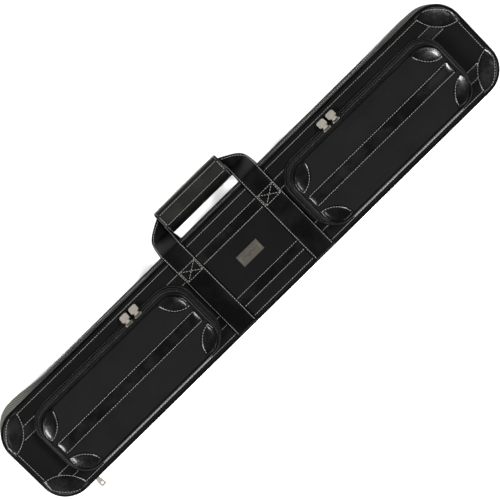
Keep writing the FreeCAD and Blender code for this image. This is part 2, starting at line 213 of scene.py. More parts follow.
def sweep(name, loop, profile, keep=None):
    """A closed cross-section of (offset, height) points carried round an outline."""
    loops = [loop(o, z) for o, z in profile]
    n = len(loops[0])
    order = list(range(n))
    if keep is not None:
        order = open_order([keep(x, y) for x, y in loops[0]])
    m, k = len(order), len(profile)
    verts = [(loops[j][i][0], loops[j][i][1], profile[j][1]) for j in range(k) for i in order]
    faces = []
    for j in range(k):
        b = (j + 1) % k
        for i in range(m if keep is None else m - 1):
            c = (i + 1) % m
            faces.append((j * m + i, j * m + c, b * m + c, b * m + i))
    if keep is not None:
        faces.append([j * m for j in range(k)])
        faces.append([j * m + m - 1 for j in reversed(range(k))])
    return make(name, verts, faces)


def ring_quads(rings, n):
    """Faces between neighbouring rings of n points each."""
    places = [(j * n + i, j * n + (i + 1) % n) for j in range(rings - 1) for i in range(n)]
    return [(a, b, b + n, a + n) for a, b in places]


def bead(offset, z, half_width, half_height, count=12):
    """Round cross-section for piping."""
    angles = [2 * math.pi * i / count for i in range(count)]
    return [(offset + half_width * math.cos(a), z + half_height * math.sin(a)) for a in angles]


def pillow(name, rect, z_back, z_face, rounding, crown, radius, count=(60, 8)):
    """Closed foam or padded block whose free face is rounded over and slightly crowned."""
    x0, x1, y0, y1 = rect
    up = 1 if z_face > z_back else -1
    depth = min((x1 - x0), (y1 - y0)) / 2
    steps = [(0, z_back), (0, z_face - up * rounding)]
    steps += [
        (rounding * (1 - math.cos(a)), z_face - up * rounding * (1 - math.sin(a)))
        for a in (math.pi / 8, math.pi / 4, 3 * math.pi / 8, math.pi / 2)
    ]
    for t in (0.15, 0.35, 0.6, 0.85, 0.98):
        inset = rounding + (depth - rounding) * t
        steps.append((inset, z_face + up * crown * math.sin(t * math.pi / 2)))
    loops = [
        outline(x0 + d, x1 - d, y0 + d, y1 - d, radius - d, count[0], count[1], 5) for d, _ in steps
    ]
    n = len(loops[0])
    verts = [(*loops[j][i], steps[j][1]) for j in range(len(steps)) for i in range(n)]
    faces = [quad[::up] for quad in ring_quads(len(steps), n)]
    faces += [list(range(len(verts) - n, len(verts)))[::up], list(range(n))[::-up]]
    return make(name, verts, faces)


def normals_of(grid):
    """Unit normals of a grid of points."""
    along = np.gradient(grid, axis=0)
    across = np.gradient(grid, axis=1)
    n = np.cross(along, across)
    return n / np.maximum(np.linalg.norm(n, axis=2, keepdims=True), 1e-12)


def oriented(grid, axis=2, sign=1):
    """The same grid with its normals turned to the wanted side."""
    return grid if normals_of(grid)[..., axis].mean() * sign > 0 else grid[::-1]


def run_length(points, axis=0):
    """Distance covered along a row of points, or along each row of a grid."""
    steps = np.linalg.norm(np.diff(points, axis=axis), axis=-1)
    return np.insert(np.cumsum(steps, axis=axis), 0, 0, axis=axis)


def edge_distance(grid, edges):
    """Distance of each grid point from the named edges: w and e run along, s and n close the ends."""
    across, along = run_length(grid, 1), run_length(grid)
    options = {"w": across, "e": across[:, -1:] - across, "s": along, "n": along[-1:] - along}
    return np.min([options[e] for e in edges], axis=0)


def leather_height(d, thickness):
    """Rolled edge, pressed stitch line and a slight swell inside it."""
    roll = np.sqrt(np.clip(1 - (1 - np.clip(d / (0.9 * thickness), 0, 1)) ** 2, 0, 1))
    dip = 0.22 * hump(d, STITCH_INSET, 0.0008)
    swell = 0.12 * np.clip((d - STITCH_INSET) / 0.004, 0, 1)
    return thickness * (0.12 + 0.88 * roll - dip + swell)


def grid_quads(n, m):
    """Faces of an n by m grid of points."""
    starts = [i * m + j for i in range(n - 1) for j in range(m - 1)]
    return [(a, a + m, a + m + 1, a + 1) for a in starts]


def rim_quads(n, m):
    """Faces round the rim of two n by m grids, the second numbered after the first."""
    rim = [i * m for i in range(n)] + [(n - 1) * m + j for j in range(1, m)]
    rim += [i * m + m - 1 for i in range(n - 2, -1, -1)] + list(range(m - 2, 0, -1))
    return [(a, a + n * m, b + n * m, b) for a, b in zip(rim, rim[1:] + rim[:1])]


def slab_on(name, grid, thickness, edges="wesn"):
    """Leather or webbing laid on a grid of points, which is its underside."""
    n, m = grid.shape[:2]
    top = grid + normals_of(grid) * leather_height(edge_distance(grid, edges), thickness)[..., None]
    faces = []
    for quad in grid_quads(n, m):
        a, b, c, d = (v + n * m for v in quad)
        faces += [quad, (a, d, c, b)]
    return make(name, np.concatenate([top.reshape(-1, 3), grid.reshape(-1, 3)]), faces + rim_quads(n, m))


def inset_row(grid, thickness, edge, distance=STITCH_INSET, trim=0.0):
    """Points and normals of a stitch line at a distance inside one edge of a slab."""
    normal = normals_of(grid)
    lifted = grid + normal * thickness
    if edge in "sn":
        lifted, normal = (np.transpose(v, (1, 0, 2)) for v in (lifted, normal))
    if edge in "en":
        lifted, normal = lifted[:, ::-1], normal[:, ::-1]
    across = run_length(lifted, 1)
    row = np.array([[np.interp(distance, a, p[:, k]) for k in range(3)] for a, p in zip(across, lifted)])
    length = run_length(row)
    keep = (length >= trim) & (length <= length[-1] - trim)
    return row[keep], normal[:, 0][keep]


# ---- thread and zipper teeth: one small capsule, repeated ----
def capsule(sides=6):
    """Unit capsule along X: rings of (place, radius)."""
    rings = [(-0.5, 0.25), (-0.42, 0.75), (-0.15, 1.0), (0.15, 1.0), (0.42, 0.75), (0.5, 0.25)]
    verts = [
        (x, r * math.cos(2 * math.pi * k / sides), r * math.sin(2 * math.pi * k / sides))
        for x, r in rings
        for k in range(sides)
    ]
    ends = [list(range(sides))[::-1], list(range(len(verts) - sides, len(verts)))]
    return np.array(verts), ring_quads(len(rings), sides) + ends


CAPSULE, CAPSULE_FACES = capsule()


def capsules(name, centres, along, up, length, radius):
    """Many capsules as one mesh: each lies along its direction, with its own up."""
    along = along / np.linalg.norm(along, axis=1, keepdims=True)
    side = np.cross(up, along)
    side /= np.linalg.norm(side, axis=1, keepdims=True)
    up = np.cross(along, side)
    v = (
        centres[:, None]
        + CAPSULE[None, :, 0:1] * length * along[:, None]
        + CAPSULE[None, :, 1:2] * radius * side[:, None]
        + CAPSULE[None, :, 2:3] * radius * up[:, None]
    )
    k = len(CAPSULE)
    faces = [tuple(i * k + c for c in f) for i in range(len(centres)) for f in CAPSULE_FACES]
    return make(name, v.reshape(-1, 3), faces)


def spaced(row, normal, pitch):
    """Middles, directions and normals at an even pitch along a row of points."""
    length = run_length(row)
    count = max(int(length[-1] / pitch), 1)
    at = (np.arange(count) + 0.5) * length[-1] / count
    near = 0.0004
    pick = lambda values, place: np.array([np.interp(place, length, values[:, k]) for k in range(3)]).T
    return pick(row, at), pick(row, at + near) - pick(row, at - near), pick(normal, at)


def stitching(name, rows, body, pitch=0.0038, length=0.0029, radius=0.00028, look="thread"):
    """Rows of thread stitches as one piece."""
    parts = [spaced(row, normal, pitch) for row, normal in rows if len(row) > 1]
    centre, along, up = (np.concatenate([p[k] for p in parts]) for k in range(3))
    obj = capsules(name, centre, along, up, length, radius)
    return dress(obj, body, look)


def line(points, normal=(0, 0, 1), step=0.004):
    """A stitch row through given corners, resampled finely."""
    points = np.array(points, float)
    row = [points[0]]
    for a, b in zip(points[:-1], points[1:]):
        count = max(int(np.linalg.norm(b - a) / step), 1)
        row += [a + (b - a) * i / count for i in range(1, count + 1)]
    row = np.array(row)
    return row, np.tile(np.array(normal, float), (len(row), 1))


def loop_row(loop, offset, z):
    """A stitch row all round an outline, facing outwards."""
    xy = loop(offset, z)
    row = np.column_stack([xy, np.full(len(xy), z)])
    out = np.column_stack([turned_out(xy), np.zeros(len(xy))])
    out = np.concatenate([out, out[:1]])
    return np.concatenate([row, row[:1]]), out / np.linalg.norm(out, axis=1, keepdims=True)


# ---- materials ----
class Graph:
    """Short calls for the nodes that the materials share."""

    def __init__(self, name, **sockets):
        self.mat = bpy.data.materials.new(name)
        self.mat.use_nodes = True
        self.tree = self.mat.node_tree
        self.bsdf = self.tree.nodes["Principled BSDF"]
        for key, value in sockets.items():
            self.bsdf.inputs[key.replace("_", " ")].default_value = value
        self.coords = self.node("ShaderNodeTexCoord").outputs["Object"]
        split = self.node("ShaderNodeSeparateXYZ", self.coords)
        self.x, self.y, self.z = split.outputs

    def node(self, kind, *inputs, **settings):
        made = self.tree.nodes.new(kind)
        for key, value in settings.items():
            setattr(made, key, value)
        for k, value in enumerate(inputs):
            self.feed(made.inputs[k], value)
        return made

    def feed(self, socket, value):
        if isinstance(value, bpy.types.NodeSocket):
            self.tree.links.new(value, socket)
        elif value is not None:
            socket.default_value = value

    def math(self, operation, a, b=0.0):
        return self.node("ShaderNodeMath", a, b, operation=operation).outputs[0]

    def add(self, a, b, share=None):
        """a plus b, or plus a share of b."""
        return self.math("ADD", a, b if share is None else self.math("MULTIPLY", b, share))

    def noise(self, scale, detail=4.0, roughness=0.55, stretch=None):
        coords = self.coords
        if stretch is not None:
            coords = self.node("ShaderNodeVectorMath", coords, stretch, operation="MULTIPLY").outputs[0]
        made = self.node("ShaderNodeTexNoise")
        self.feed(made.inputs["Vector"], coords)
        made.inputs["Scale"].default_value = scale
        made.inputs["Detail"].default_value = detail
        made.inputs["Roughness"].default_value = roughness
        return made.outputs["Fac"]

    def cells(self, scale):
        made = self.node("ShaderNodeTexVoronoi", feature="DISTANCE_TO_EDGE")
        self.feed(made.inputs["Vector"], self.coords)
        made.inputs["Scale"].default_value = scale
        return made.outputs["Distance"]

    def around(self):
        """Runs steadily round the case's side wall, corners included."""
        return self.math("SUBTRACT", self.math("ABSOLUTE", self.x), self.math("ABSOLUTE", self.y))

    def sine(self, value, period):
        return self.math("SINE", self.math("MULTIPLY", value, 2 * math.pi / period))

    def remap(self, value, low, high, to_low, to_high):
        made = self.node("ShaderNodeMapRange")
        for k, v in enumerate((value, low, high, to_low, to_high)):
            self.feed(made.inputs[k], v)
        return made.outputs[0]

    def blend(self, factor, a, b):
        """Between two colours, each three numbers or another node's output."""
        made = self.node("ShaderNodeMix", data_type="RGBA")
        a, b = ((*v, 1) if isinstance(v, tuple) else v for v in (a, b))
        for key, v in ((0, factor), (6, a), (7, b)):
            self.feed(made.inputs[key], v)
        return made.outputs[2]

    def bump(self, height, distance, strength=1.0, below=None):
        made = self.node("ShaderNodeBump")
        made.inputs["Strength"].default_value = strength
        made.inputs["Distance"].default_value = distance
        self.feed(made.inputs["Height"], height)
        if below is not None:
            self.feed(made.inputs["Normal"], below)
        return made.outputs[0]

    def out(self, color=None, roughness=None, normal=None):
        for key, value in (("Base Color", color), ("Roughness", roughness), ("Normal", normal)):
            if value is not None:
                self.feed(self.bsdf.inputs[key], value)
        return self.mat


def weave(name, low, high, pitch, wall=False):
    """Woven fabric: threads over and under, with slubs and a little wear."""
    g = Graph(name, Specular_IOR_Level=0.02)
    across = g.around() if wall else g.x
    other = g.z if wall else g.y
    threads = g.math("MULTIPLY", g.sine(across, pitch), g.sine(other, pitch))
    height = g.remap(threads, -1, 1, 0, 1)
    slub = g.noise(2600, 3)
    height = g.add(height, slub, 0.5)
    cloud = g.remap(g.noise(22, 4), 0.35, 0.7, 0, 1)
    mixed = g.add(g.math("MULTIPLY", height, 0.5), cloud, 0.35)
    color = g.blend(g.remap(mixed, 0.1, 1.1, 0, 1), low, high)
    rough = g.remap(cloud, 0, 1, 0.7, 0.86)
    return g.out(color, rough, g.bump(height, 0.00016, 0.8))


def gusset_look():
    """Ribbed webbing of the side wall, with painted sheen: paler olive-grey on the rib crests where the
    slack corners belly out.
    """
    g = Graph("gusset_fabric", Specular_IOR_Level=0.06)
    run = g.around()
    ribs = g.math("ABSOLUTE", g.sine(run, 0.0052))
    height = g.add(g.math("MULTIPLY", ribs, 1.2), g.sine(g.z, 0.0012), 0.5)
    slub = g.noise(1800, 3)
    shade = g.remap(g.add(height, slub), -0.3, 2.4, 0, 1)
    dark = g.blend(shade, (0.0035, 0.0035, 0.0037), (0.011, 0.011, 0.0115))
    # painted sheen: rib crests of the bellied-out corners are coloured pale olive-grey
    sheen_color = g.blend(g.remap(ribs, 0.25, 0.8, 0, 1), (0.010, 0.010, 0.008), (0.115, 0.116, 0.098))
    # where the painted sheen goes: the slack corners on the handle side, the left one fully, the right one
    # up to 0.4
    left = g.math("MULTIPLY", g.remap(g.x, -0.325, -0.372, 0, 1), g.remap(g.y, 0.036, 0.058, 0, 1))
    right = g.math("MULTIPLY", g.remap(g.x, 0.28, 0.37, 0, 0.4), g.remap(g.y, 0.045, 0.066, 0, 1))
    color = g.blend(g.math("MAXIMUM", left, right), dark, sheen_color)
    return g.out(color, g.remap(slub, 0, 1, 0.7, 0.88), g.bump(height, 0.00022, 0.8))


def leather(name, low, high, roughness, coat=0.0, grain=420, specular=0.12):
    """Grained leather with creases, a soft coat and rubbed patches."""
    g = Graph(name, Coat_Weight=coat, Coat_Roughness=0.16, Specular_IOR_Level=specular)
    pebbles = g.remap(g.cells(grain), 0.0, 0.22, 0, 1)
    pores = g.noise(grain * 6, 3)
    crease = g.noise(60, 5, 0.55)
    height = g.add(g.math("MULTIPLY", pebbles, 0.7), pores, 0.35)
    rubbed = g.remap(g.noise(34, 5, 0.6), 0.42, 0.68, 0, 1)
    color = g.blend(g.math("MULTIPLY", rubbed, 0.8), low, high)
    rough = g.remap(g.add(rubbed, pores, 0.5), 0, 1.5, roughness - 0.08, roughness + 0.1)
    normal = g.bump(height, 0.00012, 0.6, g.bump(crease, 0.0004, 0.15))
    return g.out(color, rough, normal)


def thread_look(name, low, high):
    """Twisted thread."""
    g = Graph(name, Sheen_Weight=0.2, Specular_IOR_Level=0.35)
    twist = g.sine(g.add(g.add(g.x, g.y), g.z, 0.7), 0.0009)
    shade = g.remap(g.add(twist, g.noise(300, 2)), -1, 2, 0, 1)
    color = g.blend(shade, low, high)
    return g.out(color, g.remap(shade, 0, 1, 0.55, 0.75), g.bump(twist, 0.00008, 0.6))


def tape_look(name, low, high):
    """Zipper tape: a fine herringbone."""
    g = Graph(name, Specular_IOR_Level=0.1)
    run = g.around()
    zig = g.math("ABSOLUTE", g.sine(g.z, 0.0044))
    bones = g.sine(g.add(run, zig, 0.0012), 0.0014)
    shade = g.remap(g.add(bones, g.noise(900, 3)), -1, 2, 0, 1)
    color = g.blend(shade, low, high)
    return g.out(color, g.remap(shade, 0, 1, 0.65, 0.85), g.bump(bones, 0.00012, 0.7))


def coil_look():
    """Moulded nylon zipper coil."""
    g = Graph("coil", Coat_Weight=0.15, Specular_IOR_Level=0.5)
    worn = g.noise(500, 3)
    color = g.blend(worn, (0.006, 0.006, 0.007), (0.02, 0.02, 0.021))
    return g.out(color, g.remap(worn, 0, 1, 0.25, 0.42), g.bump(worn, 0.00003, 0.4))


def metal_look(name, low, high, roughness, brush=(1, 30, 30)):
    """Champagne metal, brushed or cast, darker where it is rubbed."""
    g = Graph(name, Metallic=1.0)
    lines = g.noise(240, 4, 0.6, brush)
    cloud = g.noise(120, 3)
    shade = g.remap(g.add(g.math("MULTIPLY", lines, 0.6), cloud, 0.4), 0.3, 0.7, 0, 1)
    color = g.blend(shade, low, high)
    rough = g.remap(shade, 0, 1, roughness + 0.1, roughness - 0.06)
    return g.out(color, rough, g.bump(lines, 0.00003, 0.35))


def velour_look(name, low, high):
    """Short-napped lining, brushed this way and that."""
    g = Graph(name, Sheen_Weight=0.7, Sheen_Roughness=0.35, Specular_IOR_Level=0.2)
    nap = g.noise(2200, 3, 0.7)
    brushed = g.remap(g.noise(28, 5, 0.65), 0.35, 0.68, 0, 1)
    color = g.blend(g.add(g.math("MULTIPLY", brushed, 0.6), nap, 0.4), low, high)
    return g.out(color, g.remap(nap, 0, 1, 0.82, 0.95), g.bump(nap, 0.0004, 0.6))


def elastic_look():
    """Narrow-ribbed elastic."""
    g = Graph("elastic", Sheen_Weight=0.2, Specular_IOR_Level=0.3)
    ribs = g.sine(g.x, 0.0016)
    wales = g.sine(g.y, 0.0011)
    height = g.add(ribs, wales, 0.4)
    shade = g.remap(g.add(height, g.noise(700, 2)), -1, 2, 0, 1)
    color = g.blend(shade, (0.008, 0.008, 0.009), (0.028, 0.028, 0.03))
    return g.out(color, g.remap(shade, 0, 1, 0.6, 0.8), g.bump(height, 0.00022, 0.8))


BLACK = (0.001, 0.001, 0.0011)
RUBBED = (0.004, 0.004, 0.0042)
looks = {
    "shell": weave("shell_fabric", (0.0022, 0.0022, 0.0024), (0.0066, 0.0066, 0.007), 0.0011),
    "pocket": weave("pocket_fabric", (0.004, 0.004, 0.0043), (0.0092, 0.0092, 0.0096), 0.0011),
    "gusset": gusset_look(),
    "band": weave("band_fabric", (0.0015, 0.0015, 0.0017), (0.0055, 0.0055, 0.006), 0.0011, wall=True),
    "leather": leather("glossy_leather", BLACK, (0.0035, 0.0035, 0.0037), 0.42, 0.02, 420, 0.03),
    "stripe": leather("stripe_leather", BLACK, RUBBED, 0.27, 0.30, 420, 0.10),
    "patch": leather("patch_leather", BLACK, RUBBED, 0.26, 0.26, 520, 0.12),
    "piping": leather("piping_leather", BLACK, RUBBED, 0.36, 0.05, 700, 0.06),
    "grip": leather("grip_leather", (0.0018, 0.0018, 0.0018), (0.005, 0.005, 0.0047), 0.40, 0.06, 380, 0.06),
    # painted sheen: the flap leather is coloured lighter and more olive than the grip under it, standing in
    # for the sheen along the grip's top
    "flap": leather("flap_leather", (0.007, 0.007, 0.006), (0.013, 0.013, 0.0112), 0.44, 0.04, 380, 0.06),
    "fold": leather("fold_leather", (0.030, 0.030, 0.029), (0.055, 0.055, 0.052), 0.42, 0.1, 450, 0.15),
    "tape": tape_look("zip_tape", (0.003, 0.003, 0.003), (0.010, 0.010, 0.0095)),
    "coil": coil_look(),
    "thread": thread_look("thread", (0.15, 0.148, 0.137), (0.33, 0.325, 0.30)),
    "dark_thread": thread_look("dark_thread", (0.010, 0.010, 0.010), (0.030, 0.030, 0.028)),
    "metal": metal_look("champagne_metal", (0.30, 0.275, 0.235), (0.62, 0.585, 0.52), 0.32),
    "plate": metal_look("brushed_plate", (0.05, 0.046, 0.038), (0.14, 0.13, 0.112), 0.38, (2, 60, 60)),
    "engraving": metal_look("engraving", (0.02, 0.019, 0.017), (0.05, 0.047, 0.042), 0.4),
    "foam": velour_look("foam_lining", (0.006, 0.006, 0.0065), (0.022, 0.022, 0.024)),
    "elastic": elastic_look(),
}


# ---- padded panels: a sheet sewn at its seams and swollen by a cloth simulation ----
def sheet_grid(rect, radius, nx, ny):
    """Grid of (x, y) that fills a rounded rectangle column by column."""
    x0, x1, y0, y1 = rect
    s = (1 - np.cos(np.linspace(0, math.pi, nx))) / 2
    xs = x0 + (x1 - x0) * (0.35 * s + 0.65 * np.linspace(0, 1, nx))
    grid = np.zeros((nx, ny, 2))
    for i, x in enumerate(xs):
        d = max(radius - min(x - x0, x1 - x), 0)
        cut = radius - math.sqrt(max(radius * radius - d * d, 0))
        grid[i, :, 0] = x
        grid[i, :, 1] = np.linspace(y0 + cut, y1 - cut, ny)
    return grid


def rim_distance(x, y, rect, radius):
    """How far a point lies inside a rounded rectangle."""
    x0, x1, y0, y1 = rect
    qx = np.abs(x - (x0 + x1) / 2) - (x1 - x0) / 2 + radius
    qy = np.abs(y - (y0 + y1) / 2) - (y1 - y0) / 2 + radius
    outside = np.sqrt(np.maximum(qx, 0) ** 2 + np.maximum(qy, 0) ** 2)
    return radius - outside - np.minimum(np.maximum(qx, qy), 0)


def run_cloth(obj, **settings):
    """Blows up a cloth for some frames without gravity, and gives its points then."""
    cloth = obj.modifiers.new("cloth", "CLOTH")
    cloth.settings.quality = 5
    cloth.settings.mass = 0.3
    cloth.settings.use_pressure = True
    cloth.settings.uniform_pressure_force = 4.0
    cloth.settings.effector_weights.gravity = 0.0
    for key, value in settings.items():
        setattr(cloth.settings, key, value)
    cloth.point_cache.frame_start = 1
    cloth.point_cache.frame_end = CLOTH_FRAMES
    for f in range(1, CLOTH_FRAMES + 1):
        scene.frame_set(f)
    mesh = obj.evaluated_get(bpy.context.evaluated_depsgraph_get()).data
    return np.array([v.co for v in mesh.vertices], float)


def simulate_sheet(grid, held):
    """How far each point of a sewn-down sheet rises under pressure, from 0 to 1."""
    nx, ny = grid.shape[:2]
    sheet = make("sheet", [(x, y, 0.0) for x, y in grid.reshape(-1, 2)], grid_quads(nx, ny))
    group = sheet.vertex_groups.new(name="sewn")
    for k, w in enumerate(held.reshape(-1)):
        if w > 0.02:
            group.add([k], float(w), "REPLACE")
    ends = run_cloth(sheet, tension_stiffness=12, compression_stiffness=12, shear_stiffness=5,
                     bending_stiffness=2.0, vertex_group_mass="sewn")
    bpy.data.objects.remove(sheet)
    scene.frame_set(1)
    rise = np.abs(ends[:, 2]).reshape(nx, ny)
    return np.clip(rise / max(np.percentile(rise, 98), 1e-6), 0, 1)


class Panel:
    """A padded face: z_edge at its rim, swollen by up to swell, and pressed in along its seams."""

    def __init__(self, rect, radius, z_back, z_edge, swell, seam_inset, lines=(), size=(150, 38)):
        self.rect, self.radius, self.z_back, self.z_edge = rect, radius, z_back, z_edge
        self.swell = swell if z_edge > z_back else -swell
        self.seam_inset, self.lines = seam_inset, lines
        self.grid = sheet_grid(rect, radius, *size)
        x, y = self.grid[..., 0], self.grid[..., 1]
        held = self.pressed(x, y)
        rise = simulate_sheet(self.grid, held)
        self.z = z_edge + self.swell * rise - np.sign(self.swell) * 0.0005 * held

    def pressed(self, x, y):
        """Where the stitching holds the face down."""
        rim = rim_distance(x, y, self.rect, self.radius)
        held = hump(rim, self.seam_inset, 0.0012) + (rim < 0.0015)
        for y_line in self.lines:
            held = held + 0.8 * hump(y, y_line, 0.0014)
        return np.clip(held, 0, 1)

    def height(self, x, y):
        """The face's level at any point, between the grid's own."""
        xs = self.grid[:, 0, 0]
        x, y = np.asarray(x, float), np.asarray(y, float)
        i = np.clip(np.searchsorted(xs, x) - 1, 0, len(xs) - 2)
        t = np.clip((x - xs[i]) / (xs[i + 1] - xs[i]), 0, 1)
        low = self.grid[i, 0, 1] * (1 - t) + self.grid[i + 1, 0, 1] * t
        high = self.grid[i, -1, 1] * (1 - t) + self.grid[i + 1, -1, 1] * t
        m = self.grid.shape[1] - 1
        v = np.clip((y - low) / (high - low), 0, 1) * m
        j = np.clip(v.astype(int), 0, m - 1)
        f = v - j
        near = self.z[i, j] * (1 - f) + self.z[i, j + 1] * f
        far = self.z[i + 1, j] * (1 - f) + self.z[i + 1, j + 1] * f
        return near * (1 - t) + far * t

    def build(self, name):
        """Closed mesh: swollen face, rim and flat back."""
        nx, ny = self.grid.shape[:2]
        face = np.concatenate([self.grid, self.z[..., None]], axis=2).reshape(-1, 3)
        back = face.copy()
        back[:, 2] = self.z_back
        turn = 1 if self.z_edge > self.z_back else -1
        faces = []
        for quad in grid_quads(nx, ny):
            faces += [quad[::turn], tuple(v + nx * ny for v in quad)[::-turn]]
        faces += [quad[::turn] for quad in rim_quads(nx, ny)]
        return make(name, np.concatenate([face, back]), faces)


def flat_grid(xs, ys, surface, lift=0.0):
    """Grid of points on a surface: rows along xs, columns along ys."""
    x, y = np.meshgrid(xs, ys, indexing="ij")
    z = surface(x, y) + lift
    return np.stack([x, y, z], axis=2)


def corner_grid(corner, inward, radius, rect_radius, surface, clear, count=(26, 14)):
    """Polar grid of a leather corner: from the panel's rounded rim in to an arc."""
    cx, cy = corner
    sx, sy = inward
    edge = rect_radius - clear
    first = math.asin(min(clear / radius, 1)) + 0.01
    grid = np.zeros((*count, 3))
    for i, a in enumerate(np.linspace(first, math.pi / 2 - first, count[0])):
        c, s = math.cos(a), math.sin(a)
        start = max(clear / c, clear / s)
        b = rect_radius * (c + s)
        root = b * b - (2 * rect_radius * rect_radius - edge * edge)
        if root > 0:
            near = b - math.sqrt(root)
            if near * c < rect_radius and near * s < rect_radius:
                start = max(start, near)
        rho = np.linspace(min(start, radius - 0.001), radius, count[1])
        grid[i, :, 0] = cx + sx * rho * c
        grid[i, :, 1] = cy + sy * rho * s
    grid[..., 2] = surface(grid[..., 0], grid[..., 1])
    return grid if sx * sy > 0 else grid[::-1]


def patches(name, corners, radius, rect_radius, surface, clear, body, nodes, rim_row=False):
    """Leather corners with their stitched arcs, and a row along the rim when asked."""
    thickness = 0.0013
    rows = []
    for k, (corner, inward) in enumerate(corners):
        grid = oriented(corner_grid(corner, inward, radius, rect_radius, surface, clear))
        dress(slab_on(f"{name}_{k + 1}", grid, thickness), body, "patch", nodes if k == 0 else ())
        rows.append(inset_row(grid, thickness * 0.9, "e", 0.0020, 0.002))
        if rim_row:
            rows.append(inset_row(grid, thickness * 1.15, "w", 0.0034, 0.004))
    stitching(name + "_stitching", rows, body)


# ---- shell halves ----
def gusset_profile(z_low, z_high, bulge=0.0007):
    """Side wall: hollow-backed, bowed out a little between its seams."""
    steps = np.linspace(0, 1, 7)
    outer = [(bulge * math.sin(math.pi * t) - 0.0002, z_low + (z_high - z_low) * t) for t in steps]
    return outer + [(-WALL, z) for _, z in reversed(outer)]


def zipper(half, body, sign, zone, loop, z_tape, z_teeth, node, arm=0.0017, pitch=0.0017):
    """Tape and teeth of one zipper half; gives its stitch row."""
    offset = -0.0014
    inner, outer = offset - 0.0005, offset + 0.0005
    bow = 0.0002
    z0, z1 = sorted((z_tape, z_teeth - sign * 0.0006))
    mid = (z0 + z1) / 2
    profile = [(outer, z0), (outer + bow, mid), (outer, z1), (inner, z1), (inner - bow, mid), (inner, z0)]
    dress(sweep(f"{half}_tape", loop, profile, zone), body, "tape", (node,))
    row, out = loop_row(loop, offset, z_teeth)
    order = open_order([zone(x, y) for x, y, _ in row[:-1]])
    centre, _, up = spaced(row[order], out[order], pitch)
    upright = np.zeros_like(centre)
    upright[:, 2] = 1
    dress(capsules(f"{half}_teeth", centre, upright, up, arm, 0.00052), body, "coil")
    row[:, 2] = z_tape + sign * 0.0012
    row[:, :2] = loop(0.0001, z_tape)[np.r_[: len(row) - 1, 0]]
    return row[order], out[order]


def shell_half(name, body, is_lid):
    """Side wall, zipper half, piping and their stitch rows; the lid's are the base's turned over."""
    flip = (lambda z: 2 * SEAM - z) if is_lid else (lambda z: z)
    sign = -1 if is_lid else 1
    wall_high = flip(SEAM - ZIP_TAPE)
    lip = flip(SEAM - ZIP_LIP)
    keep = except_in(fold_zone(-STRAIGHT + 1e-4, -ZIP_END + 0.0045)) if is_lid else None
    profile = gusset_profile(*sorted((flip(WALL_SEAM), wall_high)))
    dress(sweep(f"{name}_side_wall", case_loop, profile, keep), body, "gusset", (f"{name}_gusset",))
    band = gusset_profile(*sorted((wall_high, lip)), 0.0003)
    lip_reach = ZIP_END - 0.0035
    near = fold_zone(-lip_reach, lip_reach)
    dress(sweep(f"{name}_fold_side", case_loop, band, near), body, "gusset")
    zone = except_in(fold_zone(-STRAIGHT if is_lid else -ZIP_END, ZIP_END))
    z_teeth = lip - sign * 0.0004
    sewn = zipper(f"{name}_zip", body, sign, zone, case_loop, wall_high, z_teeth, f"{name}_zip_half")
    z_pipe = sum(span(f"{name}_piping", 2)) / 2
    pipe = sweep(f"{name}_edge_piping", case_loop, bead(-0.0001, z_pipe, 0.0016, 0.00135))
    dress(pipe, body, "piping", (f"{name}_piping",))
    row, out = loop_row(case_loop, 0.0001, flip(0.0095))
    if keep:
        order = open_order([keep(x, y) for x, y, _ in row[:-1]])
        row, out = row[order], out[order]
    stitching(f"{name}_wall_stitching", [(row, out), sewn], body)


def face_rect(inset):
    """The panel's rectangle, inside the case's outline by inset."""
    return (-HALF_X + inset, HALF_X - inset, -HALF_Y + inset, HALF_Y - inset)


def panels():
    """Front and back panels, pressed in by their edge seams; gives the front one."""
    rect, radius = face_rect(PANEL_INSET), CORNER - PANEL_INSET
    front = Panel(rect, radius, span("front_panel", 2)[0] + 0.0002, FRONT - 0.0016, 0.0018, PANEL_SEAM,
                  (-0.0315, 0.0315))
    dress(front.build("front_panel_cover"), "lid", "shell", ("front_panel",))
    back = Panel(rect, radius, span("back_panel", 2)[1] - 0.0002, 0.0012, 0.0011, PANEL_SEAM, (), (130, 30))
    dress(back.build("back_panel_cover"), "base", "shell", ("back_panel",))
    xy = case_loop(-PANEL_INSET - PANEL_SEAM, 0)
    for panel, body, up in ((front, "lid", 1), (back, "base", -1)):
        z = panel.height(xy[:, 0], xy[:, 1]) + up * 0.0002
        row = np.column_stack([xy, z])
        row = np.concatenate([row, row[:1]])
        normal = np.tile([0, 0, float(up)], (len(row), 1))
        stitching(f"{body}_panel_stitching", [(row, normal)], body)
    return front


def stripes(front):
    """Lengthwise leather stripes on the front panel."""
    rows = []
    for name in ("upper", "lower"):
        reach = HALF_X - 0.0245
        ys = np.linspace(*span(f"stripe_{name}", 1), 15)
        grid = oriented(flat_grid(np.linspace(-reach, reach, 220), ys, front.height, 0.0001))
        dress(slab_on(f"leather_stripe_{name}", grid, 0.0010), "lid", "stripe", (f"stripe_{name}",))
        rows += [inset_row(grid, 0.0009, edge, 0.0018, 0.003) for edge in "we"]
    stitching("stripe_stitching", rows, "lid")


def front_corners(front):
    """Leather corners of the front panel."""
    corners = [((i * HALF_X, j * HALF_Y), (-i, -j)) for i in (-1, 1) for j in (-1, 1)]
    surface = lambda x, y: front.height(x, y) + PATCH_LIFT
    nodes = ("front_corner_patches",)
    patches("corner_leather", corners, PATCH_RADIUS, CORNER, surface, BAND, "lid", nodes, True)


